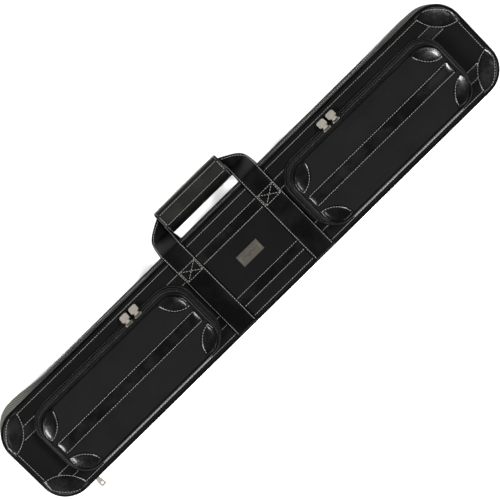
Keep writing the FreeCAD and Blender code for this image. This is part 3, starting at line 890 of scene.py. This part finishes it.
def fold_pieces():
    """Fabric that crosses the case's hinge, and the loose end beside the parked slider."""
    (x0, x1), (_, y1), (z0, z1) = spans("hinge_strip")
    bow = lambda z: y1 - 0.0004 + 0.0002 * math.cos((z - SEAM) / (z1 - SEAM) * math.pi)
    zs = np.linspace(z0, z1, 17)
    grid = oriented(np.array([[(x, bow(z), z) for z in zs] for x in np.linspace(x1, x0, 130)]), 1, -1)
    obj = dress(slab_on("fold_strip", grid, 0.0012), None, "band", ("hinge_strip",))
    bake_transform(obj)
    for k, (edge, distance) in enumerate((("w", 0.0017), ("e", 0.0031))):
        row, out = inset_row(grid, 0.0012, edge, distance, 0.003)
        body = "lid" if row[:, 2].mean() > SEAM else "base"
        stitching(f"fold_strip_stitching_{k + 1}", [(row, out)], body)
    zone = fold_zone(-STRAIGHT - 1e-4, -ZIP_END + 0.0036)
    profile = gusset_profile(SEAM + ZIP_TAPE, FRONT - WALL_SEAM, 0.0009)
    loose = dress(sweep("zip_end_fabric", case_loop, profile, zone), "lid", "gusset", ("zip_end_gusset",))
    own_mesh(loose)
    zone = fold_zone(-STRAIGHT - 1e-4, -ZIP_END)
    low, high = SEAM + ZIP_LIP, SEAM + ZIP_TAPE
    profile = [(-0.0009, low), (-0.0009, high), (-0.0019, high), (-0.0019, low)]
    tape = dress(sweep("zip_end_tape", case_loop, profile, zone), "lid", "tape")
    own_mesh(tape)


# ---- straps and handles ----
def leg_curve(t, points, weight):
    """Point of a three-point curve; the weight pulls it towards the middle one."""
    a, b, c = (1 - t) ** 2, 2 * weight * t * (1 - t), t * t
    first, middle, last = points
    return [(a * first[k] + b * middle[k] + c * last[k]) / (a + b + c) for k in range(2)]


def leg_point(t, u, is_front):
    """Underside of a handle's leg: t runs from the panel's edge to the grip, u from its inner edge out."""
    near, far = GRIP_END - 0.001, GRIP_END - 0.002
    inner = [(STRAP_IN, STRAP_REACH), (near, GRIP_LOW - 0.004), (far, BAR_LOW + 0.012)]
    outer = [(STRAP_OUT, STRAP_REACH), (STRAP_OUT + 0.0005, BAR_LOW + 0.0065), (near, BAR_HIGH)]
    x, y = (a * (1 - u) + b * u for a, b in zip(leg_curve(t, inner, 1), leg_curve(t, outer, 2.6)))
    bend = HALF_Y + 0.0045
    top = FRONT if is_front else STRAP_THICK * REAR_FLATTENING
    bar = span("front_handle", 2)[0] if is_front else span("rear_handle", 2)[1] - STRAP_THICK
    level = bar if is_front else bar + 0.0001
    k = np.clip((y - bend) / (BAR_LOW - bend), 0, 1)
    ease = k * 0.75 + 0.25 * k * k * (3 - 2 * k)
    return x, y, top + (level - top) * ease


def strap(side, is_front, surface):
    """One crosswise strap that leaves the panel and becomes the handle's leg."""
    face, panel = ("front", "lid") if is_front else ("rear", "base")
    up = 1 if is_front else -1
    hand = "left" if side < 0 else "right"
    handle = f"{face}_handle"
    across = np.linspace(0, 1, 19)
    ys = np.linspace(-STRAP_REACH, STRAP_REACH - 0.0005, 110)
    flat = np.array([[(side * (STRAP_IN + (STRAP_OUT - STRAP_IN) * u), y, 0) for u in across] for y in ys])
    flat[..., 2] = surface(flat[..., 0], flat[..., 1])
    leg = np.array([[leg_point(t, u, is_front) for u in across] for t in np.linspace(0.01, 1, 46)])
    leg[..., 0] *= side
    easing = 26
    for k in range(1, easing):
        w = k / easing
        flat[-easing + k, :, 2] = flat[-easing + k, :, 2] * (1 - w * w) + leg[0, :, 2] * w * w
    grid = np.concatenate([flat, leg])
    grid = grid if normals_of(grid)[:60, :, 2].mean() * up > 0 else grid[:, ::-1]
    thick = STRAP_THICK * (0.86 if is_front else 0.72)
    z = FRONT if is_front else 0.0
    nodes = (f"{face}_strap_{hand}", handle)
    obj = dress(slab_on(f"strap_{face}_{hand}", grid, thick), None, "leather", nodes)
    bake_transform(obj)
    rows = [inset_row(grid, thick * 0.95, edge, 0.0026, 0.002) for edge in "we"]
    if is_front:
        x0, x1 = side * (STRAP_IN + 0.0045), side * (STRAP_OUT - 0.0045)
        low, high = 0.0305, 0.0485
        z = float(surface(side * (STRAP_IN + STRAP_OUT) / 2, 0.04)) + thick * 1.12
        a, b, c, d = (x0, low, z), (x1, low, z), (x1, high, z), (x0, high, z)
        rows += [line([a, b, c, d, a]), line([a, c]), line([b, d])]
    thread = stitching(f"strap_{face}_{hand}_stitching", rows, None)
    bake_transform(thread)


def grip_section(up, low, high, z_mid, depth, radius, count=10):
    """Half of the grip's rounded cross-section as (y, z) points, closed along the middle."""
    points = [(low, z_mid), (low, z_mid + up * (depth - radius))]
    for i in range(1, count):
        a = math.pi / 2 * i / count
        points.append((low + radius * (1 - math.cos(a)), z_mid + up * (depth - radius * (1 - math.sin(a)))))
    points.append((low + radius, z_mid + up * depth))
    for i in range(1, 8):
        points.append((low + radius + (high - low - 2 * radius) * i / 8, z_mid + up * (depth + 0.0003)))
    points.append((high - radius, z_mid + up * depth))
    for i in range(1, count):
        a = math.pi / 2 * i / count
        points.append((high - radius * (1 - math.sin(a)), z_mid + up * (depth - radius * (1 - math.cos(a)))))
    points += [(high, z_mid + up * (depth - radius)), (high, z_mid)]
    return points


def inflate(obj, cap):
    """Remesh, blow up, and cap how far each point moves; gives the points before and after."""
    remesh = obj.modifiers.new("remesh", "REMESH")
    remesh.mode = "VOXEL"
    remesh.voxel_size = 0.003
    base = bpy.data.meshes.new_from_object(obj.evaluated_get(bpy.context.evaluated_depsgraph_get()))
    obj.modifiers.clear()
    obj.data = base
    start = np.array([v.co for v in base.vertices])
    move = run_cloth(obj) - start
    obj.modifiers.clear()
    scene.frame_set(1)
    size = np.linalg.norm(move, axis=1, keepdims=True)
    return start, start + move * np.minimum(1, cap / np.maximum(size, 1e-9))


def grip(name, is_front):
    """Padded half of the grip: swollen between its end seams and flat at the parting face."""
    body = "front_handle" if is_front else "rear_handle"
    z0, z1 = span(name, 2)
    up = 1 if is_front else -1
    face = z0 if is_front else z1
    section = grip_section(up, GRIP_LOW, GRIP_HIGH, face, z1 - z0, 0.0112)
    mid_y = (GRIP_LOW + GRIP_HIGH) / 2
    tip = np.linspace(-GRIP_END, -GRIP_END + 0.003, 4)
    middle = np.linspace(-GRIP_END + 0.005, GRIP_END - 0.005, 60)
    xs = np.concatenate([tip, middle, np.linspace(GRIP_END - 0.003, GRIP_END, 4)])
    verts = []
    k = len(section)
    for x in xs:
        end = GRIP_END - abs(x)
        pull = 0.93 + 0.07 * math.sqrt(max(1 - (1 - min(end / 0.004, 1)) ** 2, 0))
        pull -= 0.022 * hump(end, 0.0045, 0.0011) + 0.018 * hump(end, 0.0085, 0.0011)
        for y, z in section:
            away = abs(z - face) > 1e-5
            verts.append((x, mid_y + (y - mid_y) * pull, face + (z - face) * (pull if away else 1)))
    faces = [quad[::-up] for quad in ring_quads(len(xs), k)]
    faces += [list(range(k))[::up], list(range(len(verts) - k, len(verts)))[::-up]]
    obj = make(name + "_cover", verts, faces)
    swell_grip(obj, face)
    dress(obj, body, "grip", (name,))
    rows = []
    for end in (-1, 1):
        x = end * (GRIP_END - 0.0032)
        ring = [(x, mid_y + (y - mid_y) * 0.985, face + (z - face) * 0.99) for y, z in section[1:-1]]
        out = np.array([(0, y - mid_y, (z - face) * 1.2) for y, z in section[1:-1]])
        rows.append((np.array(ring), out / np.linalg.norm(out, axis=1, keepdims=True)))
    stitching(f"{name}_stitching", rows, body)


def swell_grip(obj, face):
    """Moves the grip's skin as a blown-up copy moves, but keeps it flat where the halves meet."""
    copy = obj.copy()
    copy.data = obj.data.copy()
    scene.collection.objects.link(copy)
    start, end = inflate(copy, 0.0016)
    tree = KDTree(len(start))
    for i, p in enumerate(start):
        tree.insert(p, i)
    tree.balance()
    for v in obj.data.vertices:
        near = tree.find_n(v.co, 4)
        weights = [1 / (d + 1e-4) for _, _, d in near]
        moves = (Vector(end[i] - start[i]) * w for (_, i, _), w in zip(near, weights))
        away = min(abs(v.co.z - face) / 0.005, 1)
        inside = min((GRIP_END - abs(v.co.x)) / 0.012, 1)
        v.co += sum(moves, Vector()) / sum(weights) * 0.75 * away * max(inside, 0)
    bpy.data.objects.remove(copy)


def flap():
    """Loose leather layer over the upper part of the grip, sewn along its edges."""
    (x0, x1), (y0, y1), (z0, _) = spans("grip_flap")
    droop = lambda y: 0.0016 * np.clip((y - (y1 - 0.006)) / 0.006, 0, 1) ** 2
    sag = lambda x, y: z0 - 0.0002 - droop(y) + 0.0002 * np.cos(x * 90)
    grid = oriented(flat_grid(np.linspace(x0, x1, 70), np.linspace(y0, y1, 17), sag))
    # the flap's lighter olive colour is painted sheen along the grip's top
    dress(slab_on("grip_flap_cover", grid, 0.0013), "grip_flap", "flap", ("grip_flap",))
    rows = [inset_row(grid, 0.0013, edge, 0.0021, 0.002) for edge in "wesn"]
    stitching("grip_flap_stitching", rows, "grip_flap")


# ---- pockets ----
def pocket(name, side):
    """One pocket: sloping wall, zipper, swollen flap panel, stripe, corners and fold."""
    loop = pocket_loop(side)
    flap_body = f"pocket_flap_{name}"
    zip_z = (span(f"pocket_lower_zip_{name}", 2)[1] + span(f"pocket_upper_zip_{name}", 2)[0]) / 2
    panel_z = span(f"pocket_panel_{name}", 2)[0]
    x_mid = side * POCKET_MID
    fold_reach = POCKET_HALF - 0.037
    in_fold = lambda x, y: y < POCKET_LOW + FOLD_DEPTH and abs(x - x_mid) < fold_reach
    zone = except_in(in_fold)
    wall_top, band_low = zip_z - POCKET_TAPE, zip_z + POCKET_TAPE

    def ring(piece, profile, body, look, node=None, keep=None):
        """A sweep round the pocket, standing for a CAD node when one is named."""
        nodes = (f"pocket_{node}_{name}",) if node else ()
        dress(sweep(f"pocket_{piece}", loop, profile, keep), body, look, nodes)

    def backed(outer):
        """Profile of a wall: its outer line, and a straight line behind it."""
        return outer + [(-0.0025, z) for _, z in reversed(outer)]

    def lip(low, high):
        """Profile of the fold's wall between two heights."""
        return [(0.0, low), (0.0, high), (-0.0024, high), (-0.0024, low)]

    wall = backed([(0.0002, FRONT + 0.0002), (0.0005, FRONT + 0.003), (0.0001, wall_top)])
    ring(f"wall_{name}", wall, "lid", "band", "gusset")
    ring(f"base_cord_{name}", bead(0.0008, FRONT + 0.0011, 0.0011, 0.0011), "lid", "piping")
    ring(f"lip_{name}", lip(wall_top, zip_z - 0.0006), "lid", "band", keep=in_fold)
    low_row = zipper(f"pocket_zip_low_{name}", "lid", 1, zone, loop, wall_top, zip_z - 0.0009,
                     f"pocket_lower_zip_{name}", 0.0016, 0.0015)
    high_row = zipper(f"pocket_zip_high_{name}", flap_body, -1, zone, loop, band_low, zip_z + 0.0009,
                      f"pocket_upper_zip_{name}", 0.0016, 0.0015)
    band = backed([(0.0001, band_low), (0.0006, (band_low + panel_z) / 2), (0.0001, panel_z - 0.0002)])
    ring(f"band_{name}_cover", band, flap_body, "band", "band")
    ring(f"flap_lip_{name}", lip(zip_z + 0.0006, band_low), flap_body, "band", keep=in_fold)
    piping = bead(-0.0003, panel_z + 0.0015, 0.0015, 0.00135)
    ring(f"edge_piping_{name}", piping, flap_body, "piping", "piping")
    foot_row = loop_row(loop, 0.0006, FRONT + 0.0031)
    stitching(f"pocket_wall_stitching_{name}", [low_row, foot_row], "lid", look="dark_thread")
    stitching(f"pocket_band_stitching_{name}", [high_row], flap_body, look="dark_thread")
    pocket_face(name, loop, panel_z, flap_body)
    pocket_fold(name, flap_body)


def pocket_face(name, loop, panel_z, flap_body):
    """Swollen panel of a pocket's flap with its leather stripe and corners."""
    inset = 0.0016
    edge = loop(-inset, POCKET_TOP)
    (x0, y0), (x1, y1) = edge.min(axis=0), edge.max(axis=0)
    radius = POCKET_CORNER - SLOPE_END - inset
    mid = (y0 + y1) / 2
    half = 0.010
    panel = Panel((x0, x1, y0, y1), radius, panel_z + 0.0001, POCKET_TOP - 0.0014, 0.0024, 0.0035,
                  (mid - half, mid + half), (100, 42))
    dress(panel.build(f"pocket_pad_{name}"), flap_body, "pocket", (f"pocket_panel_{name}",))
    xs = np.linspace(x0 + 0.0022, x1 - 0.0022, 110)
    grid = oriented(flat_grid(xs, np.linspace(mid - half, mid + half, 15), panel.height, 0.0002))
    stripe = slab_on(f"pocket_leather_stripe_{name}", grid, 0.0010)
    dress(stripe, flap_body, "stripe", (f"pocket_stripe_{name}",))
    rows = [inset_row(grid, 0.0010, e, 0.0014, 0.002) for e in "we"]
    stitching(f"pocket_stripe_stitching_{name}", rows, flap_body)
    ends, sides = ((x0 - inset, 1), (x1 + inset, -1)), ((y0 - inset, 1), (y1 + inset, -1))
    corners = [((x, y), (i, j)) for x, i in ends for y, j in sides]
    surface = lambda x, y: panel.height(x, y) + PATCH_LIFT
    patches(f"pocket_corner_{name}", corners, POCKET_PATCH_RADIUS, radius + inset, surface, inset + 0.0004,
            flap_body, (f"pocket_patches_{name}",))


def pocket_fold(name, flap_body):
    """Pale leather roll along the pocket's lower side, with a bartack at each end."""
    (x0, x1), (y0, y1), (z0, z1) = spans(f"pocket_hinge_{name}")
    mid = (z0 + z1) / 2
    zs = np.linspace(z0, z1, 17)
    bow = lambda z: y1 - 0.0002 - 0.0022 * math.cos((z - mid) / (z1 - mid) * math.pi / 2)
    grid = oriented(np.array([[(x, bow(z), z) for z in zs] for x in np.linspace(x0, x1, 80)]), 1, -1)
    obj = dress(slab_on(f"pocket_fold_{name}", grid, 0.0012), None, "fold", (f"pocket_hinge_{name}",))
    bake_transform(obj)
    y = y0 - 0.0004
    tacks = [end + k * 0.0008 for end in (x0 + 0.0015, x1 - 0.0015) for k in (-1, 0, 1)]
    rows = [line([(x, y, z1 - 0.001), (x, y, z1 - 0.0005)], (0, -1, 0)) for x in tacks]
    rows.append(inset_row(grid, 0.0012, "e" if grid[0, -1, 2] > mid else "w", 0.0014, 0.002))
    stitching(f"pocket_fold_stitching_{name}", rows, flap_body, 0.0042, 0.003, 0.00036)


# ---- lining ----
def lining():
    """Velour-covered foam: floors, ribs and end pads, and the elastic bands."""
    for body, up in (("base", 1), ("lid", -1)):
        floor, pads = f"{body}_foam_floor", f"{body}_end_pads"
        (x0, x1), (y0, y1), z_floor = spans(floor)
        back, face = z_floor[::up]
        obj = pillow(f"{body}_floor_lining", (x0, x1, y0, y1), back, face, 0.0012, 0.0, 0.0364, (120, 12))
        dress(obj, body, "foam", (floor,))
        ribs(body, up)
        (_, reach), _, z_pads = spans(pads)
        back, face = z_pads[::up]
        y = HALF_Y - 0.0225
        inner = reach - 0.0118
        for k, (a, b) in enumerate(((-reach, -inner), (inner, reach))):
            rect = (a, b, -y, y)
            obj = pillow(f"{body}_end_pad_{k + 1}", rect, back, face, 0.002, 0.0006, 0.0035, (6, 30))
            dress(obj, body, "foam", (pads,) if k == 0 else ())
    (x0, x1), (y0, y1), (z0, _) = spans("cue_bands")
    width = 0.025
    ripple = lambda x, y: z0 + 0.0001 - 0.0006 * np.cos(y * 140)
    ys = np.linspace(y0 + 0.001, y1 - 0.001, 70)
    for k, a in enumerate((x0, x1 - width)):
        grid = flat_grid(np.linspace(a, a + width, 13), ys, ripple)
        grid = oriented(np.transpose(grid, (1, 0, 2)))
        obj = slab_on(f"cue_band_{k + 1}", grid, 0.0011)
        dress(obj, "base", "elastic", ("cue_bands",) if k == 0 else ())
        rows = [inset_row(grid, 0.0011, edge, 0.002, 0.003) for edge in "sn"]
        stitching(f"cue_band_stitching_{k + 1}", rows, "base", 0.0036, 0.0026, 0.00034)


def ribs(body, up):
    """Foam ribs between the cue channels; the outer ones stop short of the end pads."""
    node = f"{body}_dividers"
    (_, reach), (y0, y1), z_ribs = spans(node)
    back, face = z_ribs[::up]
    count = 3 if up > 0 else 5
    width = 0.008
    pitch = (y1 - y0 - width) / count
    for i in range(count + 1):
        y = y0 + i * pitch
        x = reach - (0.012 if i in (0, count) else 0.0)
        start = -(HALF_X - 0.066) if up < 0 and i == 0 else -x
        rect = (start, x, y + 0.0001, y + width - 0.0001)
        obj = pillow(f"{body}_rib_{i + 1}", rect, back, face, 0.0032, 0.0002, 0.0035, (90, 2))
        dress(obj, body, "foam", (node,) if i == 0 else ())


# ---- metal ----
def metal():
    """Better finishes and softened edges on the CAD's metal parts."""
    names = [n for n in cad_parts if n.startswith(("slider_", "tab_", "main_"))]
    for n in names + ["name_plate", "plate_rivets"]:
        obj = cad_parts[n]
        obj.data.materials.clear()
        obj.data.materials.append(looks["plate" if n.startswith("name") else "metal"])
        if n != "plate_rivets":
            bevel = obj.modifiers.new("bevel", "BEVEL")
            bevel.width = 0.00028
            bevel.segments = 2
            bevel.limit_method = "ANGLE"
            bevel.angle_limit = math.radians(35)
            bevel.harden_normals = False
    (_, x1), (_, y1), (_, top) = spans("name_plate")
    z = top - 0.0005
    edge = lambda d, _: outline(-x1 + d, x1 - d, -y1 + d, y1 - d, 0.0009, 12, 8, 4)
    sunk, flush = z - 0.0002, z + 0.00018
    profile = [(0.0026, sunk), (0.0026, flush), (0.0030, z + 0.00022), (0.0034, flush), (0.0034, sunk)]
    dress(sweep("plate_inner_line", edge, profile), "lid", "plate")
    t = np.linspace(-1, 1, 60)
    wave = np.column_stack([t * 0.011, 0.0026 * np.sin(t * 7.5) * (1 - t * t), np.full(60, z + 0.00006)])
    centre, along, up = spaced(wave, np.tile([0.0, 0.0, 1.0], (60, 1)), 0.0009)
    dress(capsules("plate_flourish", centre, along, up, 0.0014, 0.00034), "lid", "engraving")


# ---- camera, floor and light ----
def camera():
    """Nearly overhead, leaning towards the handle, with the case across the frame's diagonal."""
    lean, aside, roll = math.radians(6.5), math.radians(1.35), math.radians(44.45)
    distance = 2.2
    sensor = 36.0
    half_metre_share = 0.7172
    target = Vector((0.0018, -0.0005, 0.050))
    away = Vector((math.sin(aside), math.sin(lean) * math.cos(aside), math.cos(lean) * math.cos(aside)))
    right = Vector((math.sin(roll), math.cos(roll), 0)).cross(away).normalized()
    up = away.cross(right)
    data = bpy.data.cameras.new("camera")
    data.sensor_width = sensor
    data.lens = sensor * half_metre_share * distance / 0.5
    data.clip_end = 20
    obj = bpy.data.objects.new("camera", data)
    scene.collection.objects.link(obj)
    obj.location = target + away.normalized() * distance
    basis = [[right[i], up[i], away.normalized()[i]] for i in range(3)]
    obj.rotation_euler = Matrix(basis).to_euler()
    scene.camera = obj


def lamp(name, kind, power):
    """A light of some kind and strength, not yet placed."""
    data = bpy.data.lights.new(name, kind)
    data.energy = power
    obj = bpy.data.objects.new(name, data)
    scene.collection.objects.link(obj)
    return obj


def area(name, place, size, power):
    """Soft rectangular light aimed at the middle of the case."""
    obj = lamp(name, "AREA", power)
    obj.data.shape = "RECTANGLE"
    obj.data.size, obj.data.size_y = size
    obj.location = place
    obj.rotation_euler = (-Vector(place)).to_track_quat("-Z", "Y").to_euler()


def sun(name, away, power, spread):
    """Soft distant light, so that the floor is evenly lit as far as it reaches."""
    obj = lamp(name, "SUN", power)
    obj.data.angle = math.radians(spread)
    obj.rotation_euler = Vector(away).to_track_quat("Z", "Y").to_euler()


def studio():
    """Pale floor and soft light from the sides, with little from straight above."""
    floor = make("floor", [(-6, -6, 0), (6, -6, 0), (6, 6, 0), (-6, 6, 0)], [(0, 1, 2, 3)])
    look = Graph("floor", Roughness=0.9, Specular_IOR_Level=0.1)
    shade = look.noise(2, 2)
    floor.data.materials.append(look.out(look.blend(shade, (0.93, 0.93, 0.93), (0.95, 0.95, 0.95))))
    world = bpy.data.worlds.new("studio")
    world.use_nodes = True
    color, strength = world.node_tree.nodes["Background"].inputs[:2]
    color.default_value = (1, 1, 1, 1)
    strength.default_value = 0.12
    scene.world = world
    sun("key", (1.0, 0.0, 1.45), 4.2, 14)
    sun("fill", (-1.0, 0.0, 1.05), 5.0, 22)
    area("handle_side", (-0.3, 3.2, 1.6), (2.6, 0.8), 16)
    area("fold_side", (0.4, -3.0, 1.8), (2.6, 0.8), 60)
    scene.view_settings.view_transform = "Standard"


# ---- build ----
camera()
studio()
front_face = panels()
stripes(front_face)
front_corners(front_face)
shell_half("back", "base", False)
shell_half("front", "lid", True)
fold_pieces()
for x_side in (-1, 1):
    strap(x_side, True, lambda x, y: np.full(np.shape(x), FRONT + 0.0002))
    strap(x_side, False, lambda x, y: np.full(np.shape(x), STRAP_THICK * REAR_FLATTENING))
grip("front_grip", True)
grip("rear_grip", False)
flap()
pocket("left", -1)
pocket("right", 1)
lining()
metal()
